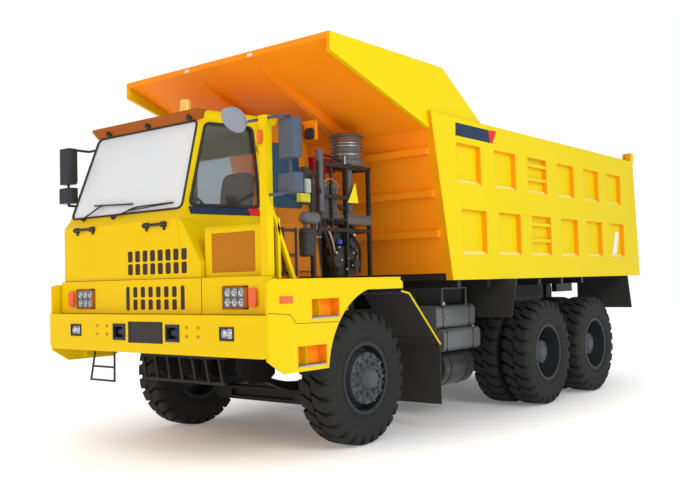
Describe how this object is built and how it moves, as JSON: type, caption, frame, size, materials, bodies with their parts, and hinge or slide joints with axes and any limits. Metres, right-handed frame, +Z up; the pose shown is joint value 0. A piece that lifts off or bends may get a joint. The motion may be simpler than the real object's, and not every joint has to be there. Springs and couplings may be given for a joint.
{
  "type": "mining dump truck",
  "caption": "Wide rigid mining dump truck with offset cab, open engine tower, canopy tipping bed, top hung tailgate and dual rear wheels.",
  "frame": {"origin": "on the ground below the middle of the overall length and width", "axes": "front looks along -Y, the truck's left side is +X, +Z up"},
  "size_m": [3.61, 8.95, 4.0801],
  "materials": {
    "tyre": "matt",
    "rim_grey": "satin",
    "chassis_black": "satin",
    "yellow": "gloss",
    "glass": "gloss",
    "amber": "gloss",
    "mirror_grey": "satin",
    "steel_grey": "satin",
    "rod_chrome": "polished",
    "seat_fabric": "woven",
    "dash_plastic": "matt"
  },
  "bodies": {
    "chassis": {"frame": "chassis_black", "front_axle": "chassis_black", "rear_axles": "chassis_black", "suspension": "chassis_black", "engine_block": "chassis_black", "bumper": "yellow", "tow_boxes": "chassis_black", "fascia": "yellow", "deck": "yellow", "fenders": "yellow", "mudguards": "chassis_black", "cab_shell": "yellow", "cab_glass": "glass", "vent_box": "yellow", "mirror_post": "yellow", "mirrors": "mirror_grey", "tower_frame": "chassis_black", "cooler": "steel_grey", "exhaust": "steel_grey", "precleaner": "steel_grey", "tanks": "steel_grey", "lamps": "glass", "amber_lamps": "amber", "radiator_guard": "chassis_black", "front_ladder": "chassis_black", "seat": "seat_fabric", "dashboard": "dash_plastic", "visor": "yellow"},
    "knuckle_left": {"knuckle_left": "chassis_black"},
    "knuckle_right": {"knuckle_right": "chassis_black"},
    "front_wheel_left": {"front_tyre_left": "tyre", "front_rim_left": "rim_grey"},
    "front_wheel_right": {"front_tyre_right": "tyre", "front_rim_right": "rim_grey"},
    "bed": {"bed_floor": "yellow", "bed_sides": "yellow", "bed_front": "yellow", "bed_flaps": "chassis_black"},
    "tailgate": {"tailgate": "yellow"},
    "door": {"door": "yellow", "door_glass": "glass"},
    "hoist_barrels": {"hoist_barrels": "steel_grey"},
    "hoist_rods": {"hoist_rods": "rod_chrome"},
    "rear_wheels_left_1": {"rear_tyres_left_1": "tyre", "rear_rims_left_1": "rim_grey"},
    "rear_wheels_left_2": {"rear_tyres_left_2": "tyre", "rear_rims_left_2": "rim_grey"},
    "rear_wheels_right_1": {"rear_tyres_right_1": "tyre", "rear_rims_right_1": "rim_grey"},
    "rear_wheels_right_2": {"rear_tyres_right_2": "tyre", "rear_rims_right_2": "rim_grey"}
  },
  "joints": [
    {"name": "steer_left", "type": "hinge", "parent": "chassis", "child": "knuckle_left", "pos_m": [0.995, -2.808, 0.68001], "axis": [0, 0, 1], "range_deg": [-32, 32]},
    {"name": "steer_right", "type": "hinge", "parent": "chassis", "child": "knuckle_right", "pos_m": [-0.995, -2.808, 0.68001], "axis": [0, 0, 1], "range_deg": [-32, 32]},
    {"name": "front_wheel_spin_left", "type": "hinge", "parent": "knuckle_left", "child": "front_wheel_left", "pos_m": [1.244, -2.808, 0.68001], "axis": [1, 0, 0], "continuous": true},
    {"name": "front_wheel_spin_right", "type": "hinge", "parent": "knuckle_right", "child": "front_wheel_right", "pos_m": [-1.244, -2.808, 0.68001], "axis": [1, 0, 0], "continuous": true},
    {"name": "rear_wheel_spin_left_1", "type": "hinge", "parent": "chassis", "child": "rear_wheels_left_1", "pos_m": [1.342, 0.716, 0.68001], "axis": [1, 0, 0], "continuous": true},
    {"name": "rear_wheel_spin_left_2", "type": "hinge", "parent": "chassis", "child": "rear_wheels_left_2", "pos_m": [1.342, 2.249, 0.68001], "axis": [1, 0, 0], "continuous": true},
    {"name": "rear_wheel_spin_right_1", "type": "hinge", "parent": "chassis", "child": "rear_wheels_right_1", "pos_m": [-1.342, 0.716, 0.68001], "axis": [1, 0, 0], "continuous": true},
    {"name": "rear_wheel_spin_right_2", "type": "hinge", "parent": "chassis", "child": "rear_wheels_right_2", "pos_m": [-1.342, 2.249, 0.68001], "axis": [1, 0, 0], "continuous": true},
    {"name": "bed_tip", "type": "hinge", "parent": "chassis", "child": "bed", "pos_m": [0, 3.375, 1.47], "axis": [-1, 0, 0], "range_deg": [0, 45]},
    {"name": "tailgate_swing", "type": "hinge", "parent": "bed", "child": "tailgate", "pos_m": [0, 4.315, 3.62513], "axis": [1, 0, 0], "range_deg": [0, 60]},
    {"name": "door_swing", "type": "hinge", "parent": "chassis", "child": "door", "pos_m": [0.54897, -3.32662, 2.43244], "axis": [0.1082, -0.0242, -0.9938], "range_deg": [0, 75]},
    {"name": "hoist_lean", "type": "hinge", "parent": "chassis", "child": "hoist_barrels", "pos_m": [0, 1.525, 1.06], "axis": [-1, 0, 0], "range_deg": [0, 62.7]},
    {"name": "hoist_slide", "type": "slide", "parent": "hoist_barrels", "child": "hoist_rods", "axis": [0, -0.9528, 0.3037], "range_m": [0, 1.297]}
  ],
  "couplings": [
    {"joint": "steer_right", "follows": "steer_left", "ratio": 1},
    {"joint": "hoist_lean", "follows": "bed_tip", "ratio": 1.3833},
    {"joint": "hoist_slide", "follows": "bed_tip", "m_per_rad": 1.6382}
  ]
}
